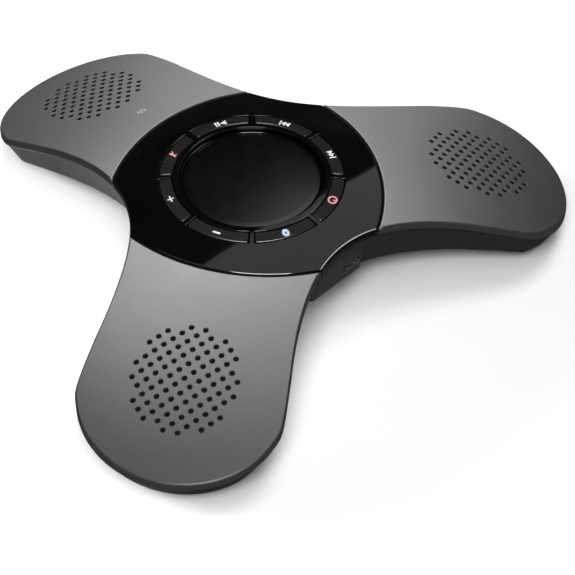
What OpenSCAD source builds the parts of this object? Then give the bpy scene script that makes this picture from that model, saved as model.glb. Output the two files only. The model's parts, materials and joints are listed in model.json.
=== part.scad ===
// Conference speakerphone: a three armed, free standing desk unit.
// Origin on the vertical centre line at table level, +Z up, front arm along -Y.

/* [Shell] */
// Radius of the spherical top surface
dome_r = 255; // [235:5:290]
// Height of the top of that sphere above the table
top_h = 43.9; // [43:0.1:48]
// Distance from the centre line to an arm's tip
arm_reach = 121.5; // [119:0.5:124]
// Half width of an arm at its widest place
arm_half_w = 36.5; // [35.5:0.1:37.5]
// Distance from the centre line to the middle of a bay between two arms
bay_r = 46.4; // [46:0.1:47.4]
// Wall thickness of the covers and the centre panel, measured downwards
skin_t = 2.3; // [2:0.1:2.6]
// Height of the rim round the covers and the centre panel
rim_h = 3.1; // [2.8:0.1:3.6]
// Shadow gap between that rim and the bottom housing
rim_gap = 0.6; // [0.4:0.1:0.8]
// Height of the middle of the slightly domed underside above the table
belly_h = 13; // [12.8:0.1:13.4]

/* [Grilles] */
// Distance from the centre line to the middle of a grille
grille_r = 87.7; // [85:0.1:89]
// Spacing of the grille holes
grille_pitch = 3.6; // [3.4:0.1:4]
// Diameter of a grille hole
grille_hole_d = 1.8; // [1.2:0.1:2.2]

/* [Keys] */
// Radius of the centre disc
disc_r = 25; // [24:0.1:26]
// Inner radius of the ring of keys
key_in_r = 28.9; // [28.5:0.1:29.5]
// Outer radius of the ring of keys
key_out_r = 33.5; // [33:0.1:34]
// Gap between neighbouring keys
key_gap = 2.2; // [1.6:0.1:2.4]
// Downward travel of a key
key_travel = 0.6; // [0.3:0.1:0.6]

/* [Socket and feet] */
// Sideways place of the data and charging socket in its bay
socket_w = 8; // [7:0.5:9]
// Height of the socket's middle above the table
socket_h = 22.5; // [22:0.1:23]
// Distance from the centre line to the middle of a foot
foot_r = 103.5; // [100:0.5:105]
// Diameter of a rubber foot
foot_d = 18; // [14:1:18]

/* [Hidden] */
$fn = 64;

// Azimuths of the arms and of the bays between them
FRONT = -90;
RIGHT = 30;
LEFT = 150;
ARMS = [FRONT, RIGHT, LEFT];
PORT_BAY = -30;

// Colours
black_gloss = "#141416";
black_satin = "#1d1e20";
cover_grey = "#8f9193";
key_grey = "#2b2c2e";
board_green = "#1f5a38";
steel = "#b9bcc0";
rubber_black = "#232323";

// --- Plan outline -------------------------------------------------------------------------

// A bay is a hyperbola: this is how gently it turns, and how fast it opens
bay_soft = 57.3;
bay_flare = 1.11;
// Half length of the bay curve that is used, and its step
bay_half_l = 52;
bay_step = 6.5;
// An arm ends in half an ellipse: its middle, its reach, its last angle and its step
tip_centre = 92;
tip_a = arm_reach - tip_centre;
tip_last = 84;
tip_step = 12;

function rot2(p, a) = [p.x * cos(a) - p.y * sin(a), p.x * sin(a) + p.y * cos(a)];
function bay_point(l) = [bay_r + sqrt(pow(bay_soft, 2) + pow(bay_flare * l, 2)) - bay_soft, l];
function tip_point(a) = [tip_centre + tip_a * cos(a), arm_half_w * sin(a)];

// The whole outline, counter-clockwise: each bay and then the arm after it
OUTLINE = [
    for (arm = [RIGHT, LEFT, FRONT])
        each concat(
            [for (l = [-bay_half_l : bay_step : bay_half_l]) rot2(bay_point(l), arm - 60)],
            [for (a = [-tip_last : tip_step : tip_last]) rot2(tip_point(a), arm)]
        )
];
COUNT = len(OUTLINE);

// Outward normal of the outline at a point, from its two neighbours
function normal2(i) =
    let (d = OUTLINE[(i + 1) % COUNT] - OUTLINE[(i + COUNT - 1) % COUNT])
    [d.y, -d.x] / norm(d);
function inset_point(i, inset) = OUTLINE[i] - inset * normal2(i);

module plan(inset) polygon([for (i = [0 : COUNT - 1]) inset_point(i, inset)]);

// The same outline turned so that an arm lies along +X
module arm_plan(inset) rotate([0, 0, -FRONT]) plan(inset);

// --- Spheres that the shells are cut from ------------------------------------------

dome_z = top_h - dome_r;
function top_z(r) = dome_z + sqrt(pow(dome_r, 2) - pow(r, 2));

// Everything lower than the top surface moved down by drop
module under_dome(drop) translate([0, 0, dome_z - drop]) sphere(r = dome_r, $fn = 180);

module arm(azimuth) rotate([0, 0, azimuth]) children();

// --- Arm covers -----------------------------------------------------------------------------

// The seam between a cover and the centre panel is an arc of this radius round this place
seam_r = 66;
seam_centre = -19.5;
seam_gap = 0.45;
// Inside face of the rim, and the box that picks out one arm
rim_t = 1.8;
arm_from = 34;
// Holes of the grille inside this number of pitches, squared
grille_limit = 26;
grille_half = 5;

module grille_holes() {
    for (i = [-grille_half : grille_half], j = [-grille_half : grille_half])
        if (i * i + j * j <= grille_limit)
            translate([grille_r, 0, 0])
                rotate([0, 0, 45])
                    translate([i * grille_pitch, j * grille_pitch, 10])
                        cylinder(d = grille_hole_d, h = 30, $fn = 24);
}

// Bosses for the case screws hang from the cover
case_screw_x = 58;
case_screw_y = 18;
case_split_z = 27;
boss_skin = 0.8;

module cover_bosses() {
    for (side = [-1, 1])
        translate([case_screw_x, side * case_screw_y, 0])
            difference() {
                translate([0, 0, case_split_z + 0.05]) cylinder(r = 2.8, h = 12);
                translate([0, 0, case_split_z]) cylinder(r = 1.25, h = 6.2);
            }
}

module cover(azimuth) {
    color(cover_grey)
        arm(azimuth)
            difference() {
                union() {
                    intersection() {
                        linear_extrude(height = 50) arm_plan(0);
                        difference() {
                            under_dome(0);
                            under_dome(rim_h);
                        }
                        translate([arm_from, -45, 0]) cube([100, 90, 60]);
                    }
                    intersection() {
                        cover_bosses();
                        under_dome(boss_skin);
                    }
                }
                difference() {
                    intersection() {
                        linear_extrude(height = 50) arm_plan(rim_t);
                        under_dome(skin_t);
                    }
                    cover_bosses();
                }
                translate([seam_centre, 0, 0]) cylinder(r = seam_r + seam_gap, h = 60, $fn = 180);
                grille_holes();
            }
}

module front_cover() cover(FRONT);
module right_cover() cover(RIGHT);
module left_cover() cover(LEFT);

// --- Centre panel -----------------------------------------------------------------------------

key_clearance = 0.4;
window_clearance = 0.35;
panel_in_r = disc_r + 1.4;

// Open in the middle for the disc, with a window for each key
module top_panel() {
    window_half_angle = key_half_angle + window_clearance / key_mid_r * 180 / PI;
    color(black_gloss)
        difference() {
            intersection() {
                linear_extrude(height = 50) plan(0);
                difference() {
                    under_dome(0);
                    under_dome(rim_h);
                }
                seam_disc(FRONT);
                seam_disc(RIGHT);
                seam_disc(LEFT);
            }
            intersection() {
                linear_extrude(height = 50) plan(rim_t);
                under_dome(skin_t);
            }
            cylinder(r = panel_in_r, h = 60, $fn = 180);
            at_keys() ring_sector(key_in_r - key_clearance, key_out_r + key_clearance, 30, 60, window_half_angle);
        }
}

module seam_disc(azimuth)
    arm(azimuth) translate([seam_centre, 0, 0]) cylinder(r = seam_r, h = 60, $fn = 180);

// --- Bottom housing ---------------------------------------------------------------------------

// The wall starts this far inside the outline at the shadow gap and leans in, more so towards the tips
wall_inset = 0.8;
bay_lean = 0.42;
lean_growth = 0.0012;
wall_t = 2;
lip_inset = 2.1;
lip_t = 1;
lip_low = 5.2;
lip_clearance = 0.2;
floor_t = 1.6;
underside_r = 700;
loft_low = -2;
loft_high = 46;

// Place of one outline point on a wall that leans in with depth below the top surface
function wall_point(i, z, inset) =
    let (
        r = norm(OUTLINE[i]),
        depth = top_z(r) - rim_h - rim_gap - z,
        lean = bay_lean + lean_growth * (r - bay_r),
        p = inset_point(i, inset + wall_inset + lean * depth)
    )
    [p.x, p.y, z];

module wall_loft(inset) {
    polyhedron(
        points = concat(
            [for (i = [0 : COUNT - 1]) wall_point(i, loft_low, inset)],
            [for (i = [0 : COUNT - 1]) wall_point(i, loft_high, inset)]
        ),
        faces = concat(
            [[for (i = [0 : COUNT - 1]) i]],
            [[for (i = [0 : COUNT - 1]) 2 * COUNT - 1 - i]],
            [for (i = [0 : COUNT - 1]) [i, COUNT + i, (i + 1) % COUNT]],
            [for (i = [0 : COUNT - 1]) [(i + 1) % COUNT, COUNT + i, COUNT + (i + 1) % COUNT]]
        ),
        convexity = 6
    );
}

// Height of the underside at a distance from the centre line
function underside_z(r) = belly_h - underside_r + sqrt(pow(underside_r, 2) - pow(r, 2));

// Everything lower than the underside moved up by lift
module below_body(lift) translate([0, 0, belly_h - underside_r + lift]) sphere(r = underside_r, $fn = 180);

// Facet round the socket, on the bay's axis. Below facet_low it slopes back under the body
facet_x = 43.2;
facet_half_w = 12.5;
facet_low = 17.5;
facet_top = 36.4;
facet_slope = 1.6;
pocket_x = 41.4;
pocket_low = 19.1;
pocket_top = 26;

module port_facet() {
    run = (facet_x - 30) / facet_slope;
    arm(PORT_BAY)
        translate([0, facet_half_w, 0])
            rotate([90, 0, 0])
                linear_extrude(height = 2 * facet_half_w)
                    polygon([[30, facet_top], [30, facet_low - run], [facet_x, facet_low], [facet_x, facet_top]]);
}

module port_pocket()
    arm(PORT_BAY)
        translate([30, socket_w - board_tab_w / 2 - 1, pocket_low])
            cube([pocket_x - 30, board_tab_w + 2, pocket_top - pocket_low]);

socket_hole_w = 9.3;
socket_hole_h = 3.5;

// Points of an upright slot shape with round ends
function slot_points(w, h, n = 8) = concat(
    [for (k = [0 : n]) let (a = -90 + 180 * k / n) [w / 2 - h / 2 + h / 2 * cos(a), h / 2 * sin(a)]],
    [for (k = [0 : n]) let (a = 90 + 180 * k / n) [-w / 2 + h / 2 + h / 2 * cos(a), h / 2 * sin(a)]]
);

// Something drawn flat, stood up in the socket's place and pushed outwards from x0 to x1
module at_socket(x0, x1)
    arm(PORT_BAY)
        translate([x0, socket_w, socket_h])
            rotate([90, 0, 90])
                linear_extrude(height = x1 - x0) children();

// Bosses on the floor
case_boss_r = 4.4;
carrier_x = 43;
carrier_boss_r = 3;
carrier_z = 31.3;
board_screw_r = 32.5;
BOARD_SCREWS = [0, 120, 240];
board_z = 19.65;
pedestal_r = 10;
pedestal_z = 1.2;

// A post from inside the floor up to a height, with a screw hole down to just above the floor
module boss(r, hole_r, low, top)
    difference() {
        translate([0, 0, low]) cylinder(r = r, h = top - low);
        translate([0, 0, low + floor_t]) cylinder(r = hole_r, h = 30);
    }

// Height of the middle of the floor's thickness
function floor_mid(x, y = 0) = underside_z(norm([x, y])) + floor_t / 2;

module housing_bosses() {
    for (azimuth = ARMS) {
        arm(azimuth) translate([carrier_x, 0, 0]) boss(carrier_boss_r, 0.95, floor_mid(carrier_x), carrier_z);
        arm(azimuth)
            for (side = [-1, 1])
                translate([case_screw_x, side * case_screw_y, 0])
                    boss(case_boss_r, 1.5, floor_mid(case_screw_x, case_screw_y), case_split_z);
    }
    board_low = floor_mid(board_screw_r);
    for (azimuth = BOARD_SCREWS)
        arm(azimuth) translate([board_screw_r, 0, board_low]) cylinder(r = 2.4, h = board_z - board_low);
}

module pedestals()
    for (azimuth = ARMS)
        arm(azimuth)
            translate([foot_r, 0, pedestal_z])
                cylinder(r = pedestal_r, h = 20);

module screw_and_foot_recesses() {
    for (azimuth = ARMS)
        arm(azimuth) {
            translate([foot_r, 0, 0]) cylinder(d = foot_d + 0.2, h = 2 * pedestal_z);
            for (side = [-1, 1])
                translate([case_screw_x, side * case_screw_y, 0]) {
                    cylinder(r = 2.6, h = 20.1);
                    cylinder(r = 1.5, h = case_split_z);
                }
        }
}

// A thin wall that stands up inside the rims and keeps the covers in place
module locating_lip()
    difference() {
        intersection() {
            linear_extrude(height = 50)
                difference() {
                    plan(lip_inset);
                    plan(lip_inset + lip_t);
                }
            under_dome(skin_t + lip_clearance);
        }
        under_dome(lip_low);
    }

module hollow_shell()
    difference() {
        union() {
            intersection() {
                wall_loft(0);
                under_dome(rim_h + rim_gap);
            }
            port_facet();
        }
        below_body(0);
        difference() {
            wall_loft(wall_t);
            below_body(floor_t);
        }
        port_pocket();
    }

module bottom_housing() {
    color(black_satin)
        difference() {
            union() {
                hollow_shell();
                locating_lip();
                housing_bosses();
                intersection() {
                    pedestals();
                    below_body(floor_t / 2);
                }
            }
            screw_and_foot_recesses();
            at_socket(30, 50) polygon(slot_points(socket_hole_w, socket_hole_h));
        }
}

// --- Centre disc, trim ring and keys ------------------------------------------------------------

disc_z = 41.5;
disc_t = 1.6;
board_top = 34;
ring_in_r = disc_r + 0.2;
ring_out_r = panel_in_r - 0.2;
ring_top = 40.9;
ring_skirt_r = 27.6;
ring_skirt_top = 37.5;

module centre_disc() {
    color(black_gloss)
        rotate_extrude($fn = 180)
            polygon([
                [0, disc_z - disc_t], [disc_r - 2, disc_z - disc_t], [disc_r - 2, disc_z - 3.4],
                [disc_r - 0.6, disc_z - 3.4], [disc_r - 0.6, disc_z - disc_t], [disc_r, disc_z - disc_t],
                [disc_r, disc_z - 0.3], [disc_r - 0.3, disc_z], [0, disc_z]
            ]);
}

// The bottom of the channel round the disc, on a skirt down to the key board
module centre_ring() {
    color(black_satin)
        rotate_extrude($fn = 180)
            polygon([
                [disc_r - 2.6, board_top + 0.1], [ring_skirt_r, board_top + 0.1],
                [ring_skirt_r, ring_skirt_top], [ring_out_r, ring_skirt_top],
                [ring_out_r, ring_top], [ring_in_r, ring_top],
                [ring_in_r, disc_z - 3.6], [disc_r - 2.6, disc_z - 3.6]
            ]);
}

// The keys in order round the ring, counter-clockwise
KEY_FIRST = -7.5;
KEY_STEP = 45;
key_flange_r = 34.9;
key_flange_z = 37.9;
key_flange_t = 1;
stem_z = 37.2;
key_mid_r = (key_in_r + key_out_r) / 2;
key_half_angle = KEY_STEP / 2 - key_gap / 2 / key_mid_r * 180 / PI;

// A sector of a ring, centred on the X axis
module ring_sector(r0, r1, z0, z1, half_angle = key_half_angle)
    rotate([0, 0, -half_angle])
        rotate_extrude(angle = 2 * half_angle, $fn = 180)
            translate([r0, z0]) square([r1 - r0, z1 - z0]);

module key(place) {
    color(key_grey)
        arm(KEY_FIRST + KEY_STEP * place) {
            intersection() {
                union() {
                    ring_sector(key_in_r, key_out_r, key_flange_z, top_h);
                    ring_sector(key_in_r, key_flange_r, key_flange_z, key_flange_z + key_flange_t);
                }
                under_dome(0);
            }
            translate([key_mid_r, 0, stem_z]) cylinder(r = 1.6, h = key_flange_z - stem_z + key_flange_t / 2);
        }
}

module key_power() key(0);
module key_next() key(1);
module key_previous() key(2);
module key_play() key(3);
module key_mute() key(4);
module key_volume_up() key(5);
module key_volume_down() key(6);
module key_pairing() key(7);

module at_keys()
    for (place = [0 : 7])
        arm(KEY_FIRST + KEY_STEP * place) children();

// --- Key board and what is on it ----------------------------------------------------------------

board_t = 1.2;
key_board_r = 37.2;
switch_w = 6;
light_angle = 9;

module key_board() {
    color(board_green)
        difference() {
            translate([0, 0, board_top - board_t]) cylinder(r = key_board_r, h = board_t, $fn = 120);
            translate([-8.6, 24.2, 30]) cube([17.2, 5.6, 10]);
        }
}

module key_switches() {
    color(steel)
        at_keys()
            translate([key_mid_r - switch_w / 2, -switch_w / 2, board_top]) {
                cube([switch_w, switch_w, 1.7]);
                translate([switch_w / 2, switch_w / 2, 1.7]) cylinder(r = 1.7, h = 0.8);
            }
}

module key_lights() {
    color("white")
        at_keys()
            rotate([0, 0, light_angle])
                translate([key_mid_r - 0.8, -0.4, board_top]) cube([1.6, 0.8, 0.7]);
}

// Silicone sheet that keeps dust and stray light off the board
module key_mat() {
    mat_in_r = ring_skirt_r + 1.1;
    mat_out_r = 36.4;
    color("#3a3a3d")
        difference() {
            translate([0, 0, board_top]) cylinder(r = mat_out_r, h = 1.5, $fn = 120);
            translate([0, 0, board_top - 1]) cylinder(r = mat_in_r, h = 4, $fn = 120);
            at_keys() translate([key_mid_r, 0, board_top - 1]) cylinder(r = 4.6, h = 4, $fn = 40);
            at_keys()
                rotate([0, 0, light_angle])
                    translate([key_mid_r, 0, board_top - 1]) cylinder(r = 1.2, h = 4);
        }
}

// Carrier plate under the key board, with a cradle for the battery and three screwed ears
battery_w = 50;
battery_d = 34;
battery_z = 24.4;
battery_t = 6.8;
carrier_t = 1.4;
cradle_t = 1.2;

module key_carrier() {
    color(black_satin)
        difference() {
            union() {
                translate([0, 0, carrier_z]) cylinder(r = 38, h = carrier_t, $fn = 120);
                for (azimuth = ARMS)
                    arm(azimuth) {
                        translate([36, -4, carrier_z]) cube([carrier_x - 36, 8, carrier_t]);
                        translate([carrier_x, 0, carrier_z]) cylinder(r = 4, h = carrier_t);
                    }
                translate([-battery_w / 2 - cradle_t - 0.3, -battery_d / 2 - cradle_t - 0.3, 27])
                    cube([battery_w + 2 * cradle_t + 0.6, battery_d + 2 * cradle_t + 0.6, carrier_z - 27]);
            }
            translate([-battery_w / 2 - 0.3, -battery_d / 2 - 0.3, 20])
                cube([battery_w + 0.6, battery_d + 0.6, carrier_z - 20]);
            translate([-8.6, 24.2, 20]) cube([17.2, 5.6, 20]);
            for (azimuth = ARMS)
                arm(azimuth) translate([carrier_x, 0, 20]) cylinder(r = 1.2, h = 20);
        }
}

module battery_pack() {
    color("#3b6ea5")
        translate([-battery_w / 2, -battery_d / 2, battery_z]) cube([battery_w, battery_d, battery_t]);
}

// --- Main board and what is on it ---------------------------------------------------------------

main_board_r = 36;
board_tab_w = 15;
main_top = board_z + board_t;

module main_board() {
    color(board_green)
        difference() {
            translate([0, 0, board_z]) {
                cylinder(r = main_board_r, h = board_t, $fn = 120);
                arm(PORT_BAY)
                    translate([20, socket_w - board_tab_w / 2, 0]) cube([pocket_x - 20.3, board_tab_w, board_t]);
            }
            for (azimuth = BOARD_SCREWS)
                arm(azimuth) translate([board_screw_r, 0, 10]) cylinder(r = 1.2, h = 20);
        }
}

module chip(x, y, w, d, h) translate([x, y, main_top]) cube([w, d, h]);

module board_chips() {
    color("#26262a") {
        chip(-7, -6, 12, 12, 1.2);
        chip(10, -5, 8, 8, 1);
        for (azimuth = ARMS)
            arm(azimuth) {
                chip(19, -11, 6, 6, 1);
                chip(30, 5, 3, 6, 2.6);
            }
    }
}

module radio_module() {
    color(steel) chip(-30, -12, 14, 10, 2);
}

module stacking_header() {
    color("#202024") translate([-8, 24.5, main_top]) cube([16, 5, board_top - main_top]);
}

// Reversible data and charging socket: a drawn metal shell round a contact tongue
module usb_socket() {
    shell_w = 8.94;
    shell_h = 3.26;
    shell_wall = 0.3;
    color(steel)
        difference() {
            at_socket(facet_x - 7.7, facet_x - 0.2) polygon(slot_points(shell_w, shell_h));
            at_socket(facet_x - 7, facet_x)
                polygon(slot_points(shell_w - 2 * shell_wall, shell_h - 2 * shell_wall));
        }
}

module usb_tongue() {
    color("#1b1b1d")
        at_socket(facet_x - 7, facet_x - 1) square([6.7, 0.7], center = true);
}

// --- Speakers -----------------------------------------------------------------------------------

// Each speaker is tilted square to the top surface: heights here are distances from its centre
speaker_tilt = asin(grille_r / dome_r);
flange_top = 250.9;
flange_t = 0.9;
gasket_t = 0.55;
basket_r = 20;
magnet_low = 244.2;
basket_low = 246.5;

module at_speaker(azimuth) arm(azimuth) translate([0, 0, dome_z]) rotate([0, speaker_tilt, 0]) children();

module speaker_ears(z0, z1, r)
    for (a = [60, 180, 300])
        rotate([0, 0, a]) translate([basket_r + 1.6, 0, z0]) cylinder(r = r, h = z1 - z0);

module speaker_basket(azimuth) {
    color("#2c2d30")
        at_speaker(azimuth)
            difference() {
                union() {
                    rotate_extrude($fn = 96)
                        polygon([
                            [16.6, flange_top], [basket_r, flange_top], [basket_r, flange_top - flange_t],
                            [17.6, flange_top - flange_t], [16.2, basket_low], [8.6, basket_low],
                            [8.6, basket_low + 0.8], [15.4, basket_low + 0.8], [16.6, flange_top - flange_t]
                        ]);
                    difference() {
                        speaker_ears(flange_top - flange_t, flange_top, 2.6);
                        translate([0, 0, 240]) cylinder(r = basket_r - 1, h = 20);
                    }
                }
                speaker_ears(240, 260, 1.1);
            }
}

module speaker_magnet(azimuth) {
    color(steel)
        at_speaker(azimuth)
            rotate_extrude($fn = 96)
                polygon([
                    [0, magnet_low], [10.5, magnet_low], [10.5, basket_low - 0.05], [7.6, basket_low - 0.05],
                    [7.6, magnet_low + 1], [5.6, magnet_low + 1], [5.6, 248], [0, 248]
                ]);
}

// A roll surround, a cone and a dust cap in one thin moulding on a voice coil tube
module speaker_cone(azimuth) {
    film = 0.3;
    upper = [
        [17.3, 251.25], [16, 251.25], [15.5, 251.6], [14.7, 251.75], [13.9, 251.6], [13.4, 251.25],
        [12.6, 250.9], [6.6, 248.9], [5, 249.5], [3, 249.9], [0, 250]
    ];
    color("#34343a")
        at_speaker(azimuth) {
            rotate_extrude($fn = 96)
                polygon(concat(upper, [for (k = [len(upper) - 1 : -1 : 0]) upper[k] - [0, film]]));
            translate([0, 0, 247])
                difference() {
                    cylinder(r = 6.8, h = 1.7);
                    translate([0, 0, -1]) cylinder(r = 6.3, h = 4);
                }
        }
}

module speaker_gasket(azimuth) {
    color("#3c3c3c")
        at_speaker(azimuth)
            difference() {
                translate([0, 0, flange_top + 0.05]) cylinder(r = 19.9, h = gasket_t, $fn = 96);
                translate([0, 0, flange_top - 1]) cylinder(r = 17.5, h = 6, $fn = 96);
            }
}

module dust_mesh(azimuth) {
    color("#101010")
        intersection() {
            at_speaker(azimuth) translate([0, 0, 248]) cylinder(r = 19.9, h = 8, $fn = 96);
            difference() {
                under_dome(skin_t + 0.1);
                under_dome(skin_t + 0.5);
            }
        }
}

module front_speaker_basket() speaker_basket(FRONT);
module right_speaker_basket() speaker_basket(RIGHT);
module left_speaker_basket() speaker_basket(LEFT);
module front_speaker_magnet() speaker_magnet(FRONT);
module right_speaker_magnet() speaker_magnet(RIGHT);
module left_speaker_magnet() speaker_magnet(LEFT);
module front_speaker_cone() speaker_cone(FRONT);
module right_speaker_cone() speaker_cone(RIGHT);
module left_speaker_cone() speaker_cone(LEFT);
module front_speaker_gasket() speaker_gasket(FRONT);
module right_speaker_gasket() speaker_gasket(RIGHT);
module left_speaker_gasket() speaker_gasket(LEFT);
module front_dust_mesh() dust_mesh(FRONT);
module right_dust_mesh() dust_mesh(RIGHT);
module left_dust_mesh() dust_mesh(LEFT);

// --- Microphones, leads and feet ----------------------------------------------------------------

mic_tilt = 25.6;

module microphone(azimuth) {
    color("#c9a24a")
        arm(azimuth)
            translate([0, 0, dome_z])
                rotate([0, mic_tilt, 0]) {
                    translate([-2.5, -4.5, 250.8]) cube([5, 9, 0.8]);
                    translate([-1.5, -1.9, 251.6]) cube([3, 3.8, 1]);
                }
}

module front_microphone() microphone(FRONT);
module right_microphone() microphone(RIGHT);
module left_microphone() microphone(LEFT);

lead_r = 0.7;
lead_sides = 8;
LEAD_ROUTE = [
    [34.5, 8, 22.4], [38, 8, 22.6], [42, 8.5, 21.6], [47, 9, 20.6], [53, 9, 20.3],
    [59, 8, 20.3], [63, 6, 20.8], [66, 4, 22.2], [67.6, 3, 24]
];

// Direction of a route at one of its points
function heading(route, i) =
    let (d = route[min(i + 1, len(route) - 1)] - route[max(i - 1, 0)])
    d / norm(d);

// A round lead swept along a route, one ring of points at each point of the route
module lead(route, r) {
    rings = len(route);
    points = [
        for (i = [0 : rings - 1])
            let (
                t = heading(route, i),
                side = cross(t, [0, 0, 1]) / norm(cross(t, [0, 0, 1])),
                up = cross(side, t)
            )
            for (k = [0 : lead_sides - 1])
                let (a = 360 * k / lead_sides)
                route[i] + r * (cos(a) * side + sin(a) * up)
    ];
    faces = concat(
        [[for (k = [lead_sides - 1 : -1 : 0]) k]],
        [[for (k = [0 : lead_sides - 1]) (rings - 1) * lead_sides + k]],
        [
            for (i = [0 : rings - 2], k = [0 : lead_sides - 1])
                let (a = i * lead_sides, next = (k + 1) % lead_sides)
                each [[a + k, a + next, a + lead_sides + k], [a + next, a + lead_sides + next, a + lead_sides + k]]
        ]
    );
    polyhedron(points = points, faces = faces, convexity = 4);
}

module speaker_lead(azimuth) color("#8c2f2a") arm(azimuth) lead(LEAD_ROUTE, lead_r);

module front_speaker_lead() speaker_lead(FRONT);
module right_speaker_lead() speaker_lead(RIGHT);
module left_speaker_lead() speaker_lead(LEFT);

module foot(azimuth) {
    foot_top = 2 * pedestal_z - 0.05;
    edge = 0.6;
    color(rubber_black)
        arm(azimuth)
            translate([foot_r, 0, 0])
                rotate_extrude($fn = 96)
                    polygon([
                        [0, 0], [foot_d / 2 - edge, 0], [foot_d / 2, edge], [foot_d / 2, foot_top], [0, foot_top]
                    ]);
}

module front_foot() foot(FRONT);
module right_foot() foot(RIGHT);
module left_foot() foot(LEFT);

// --- Fasteners ----------------------------------------------------------------------------------

// A pan head screw with a cross recess, head down at the origin, shank along +Z
module screw(head_r, head_h, shank_r, length) {
    recess = head_r * 0.35;
    difference() {
        union() {
            cylinder(r = head_r, h = head_h);
            cylinder(r = shank_r, h = head_h + length);
        }
        for (a = [0, 90])
            rotate([0, 0, a])
                translate([-head_r * 0.6, -recess / 2, -1]) cube([head_r * 1.2, recess, 1 + head_h * 0.5]);
    }
}

module case_screws() {
    color(steel)
        for (azimuth = ARMS, side = [-1, 1])
            arm(azimuth) translate([case_screw_x, side * case_screw_y, 18.4]) screw(2.4, 1.65, 1.2, 12.5);
}

module carrier_screws() {
    color(steel)
        for (azimuth = ARMS)
            arm(azimuth)
                translate([carrier_x, 0, carrier_z + carrier_t + 1.5]) rotate([180, 0, 0]) screw(2.2, 1.45, 0.9, 8);
}

module board_screws() {
    color(steel)
        for (azimuth = BOARD_SCREWS)
            arm(azimuth) translate([board_screw_r, 0, main_top + 1.3]) rotate([180, 0, 0]) screw(2.1, 1.25, 0.9, 1);
}

module speaker_screws() {
    color(steel)
        for (azimuth = ARMS)
            at_speaker(azimuth)
                for (a = [60, 180, 300])
                    rotate([0, 0, a]) translate([basket_r + 1.6, 0, 248.6]) screw(1.9, 1.35, 0.9, 1.1);
}

front_cover();
right_cover();
left_cover();
top_panel();
bottom_housing();
centre_disc();
centre_ring();
key_power();
key_next();
key_previous();
key_play();
key_mute();
key_volume_up();
key_volume_down();
key_pairing();
key_mat();
key_switches();
key_lights();
key_board();
key_carrier();
battery_pack();
main_board();
board_chips();
radio_module();
stacking_header();
usb_socket();
usb_tongue();
front_speaker_basket();
right_speaker_basket();
left_speaker_basket();
front_speaker_magnet();
right_speaker_magnet();
left_speaker_magnet();
front_speaker_cone();
right_speaker_cone();
left_speaker_cone();
front_speaker_gasket();
right_speaker_gasket();
left_speaker_gasket();
front_dust_mesh();
right_dust_mesh();
left_dust_mesh();
front_microphone();
right_microphone();
left_microphone();
front_speaker_lead();
right_speaker_lead();
left_speaker_lead();
front_foot();
right_foot();
left_foot();
case_screws();
carrier_screws();
board_screws();
speaker_screws();
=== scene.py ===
import json
import math

import bpy
import numpy as np
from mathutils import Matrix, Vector, geometry

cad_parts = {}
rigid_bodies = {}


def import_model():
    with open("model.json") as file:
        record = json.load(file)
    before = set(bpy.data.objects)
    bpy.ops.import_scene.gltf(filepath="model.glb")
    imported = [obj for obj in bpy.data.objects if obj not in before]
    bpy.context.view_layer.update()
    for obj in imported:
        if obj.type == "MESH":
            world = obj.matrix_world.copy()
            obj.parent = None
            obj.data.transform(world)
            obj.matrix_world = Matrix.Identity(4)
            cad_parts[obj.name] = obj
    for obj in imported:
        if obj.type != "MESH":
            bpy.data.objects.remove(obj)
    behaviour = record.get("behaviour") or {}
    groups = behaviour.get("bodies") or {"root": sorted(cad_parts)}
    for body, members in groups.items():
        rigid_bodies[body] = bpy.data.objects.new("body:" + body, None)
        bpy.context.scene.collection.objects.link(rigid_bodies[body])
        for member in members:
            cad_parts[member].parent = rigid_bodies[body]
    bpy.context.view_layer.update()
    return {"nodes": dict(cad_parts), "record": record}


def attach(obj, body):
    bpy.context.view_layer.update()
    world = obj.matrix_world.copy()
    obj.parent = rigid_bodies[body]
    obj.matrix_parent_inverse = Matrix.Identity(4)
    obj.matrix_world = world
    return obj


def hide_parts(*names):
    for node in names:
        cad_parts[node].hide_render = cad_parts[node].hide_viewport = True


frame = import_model()

# Lengths are millimetres, and to_object() turns them into metres.
# The studio's lights and the camera are placed in metres.
MM = 0.001

# --- Driving dimensions, the same as the design's -------------------------------------------

DOME_R = 255.0
TOP_H = 43.9
DOME_Z = TOP_H - DOME_R
ARM_REACH = 121.5
ARM_HALF_W = 36.5
BAY_R = 46.4
BAY_SOFT = 57.3
BAY_FLARE = 1.11
BAY_HALF_L = 52.0
BAY_STEP = 6.5
TIP_CENTRE = 92.0
TIP_LAST = 84
TIP_STEP = 12
SKIN_T = 2.3
RIM_H = 3.1
RIM_T = 1.8
RIM_GAP = 0.6
BELLY_H = 13.0
UNDERSIDE_R = 700.0
FLOOR_T = 1.6
SEAM_R = 66.0
SEAM_CENTRE = -19.5
SEAM_GAP = 0.45
GRILLE_R = 87.7
GRILLE_PITCH = 3.6
GRILLE_HOLE_R = 0.9
GRILLE_LIMIT = 26
WALL_INSET = 0.8
BAY_LEAN = 0.42
LEAN_GROWTH = 0.0012
WALL_T = 2.0
DISC_R = 25.0
DISC_Z = 41.5
DISC_CROWN_R = 500.0
KEY_IN_R = 28.9
KEY_OUT_R = 33.5
KEY_GAP = 2.2
KEY_CLEARANCE = 0.4
WINDOW_CLEARANCE = 0.35
PANEL_IN_R = 26.4
KEY_FIRST = -7.5
KEY_STEP = 45
FOOT_R = 103.5
PEDESTAL_R = 10.0
PEDESTAL_Z = 1.2
FACET_X = 43.2
FACET_HALF_W = 12.5
FACET_LOW = 17.5
SOCKET_W = 8.0
SOCKET_H = 22.5

FRONT, RIGHT, LEFT = -90, 30, 150
ARMS = {"front": FRONT, "right": RIGHT, "left": LEFT}
PORT_BAY = -30


# --- Plane geometry -------------------------------------------------------------------------


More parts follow.
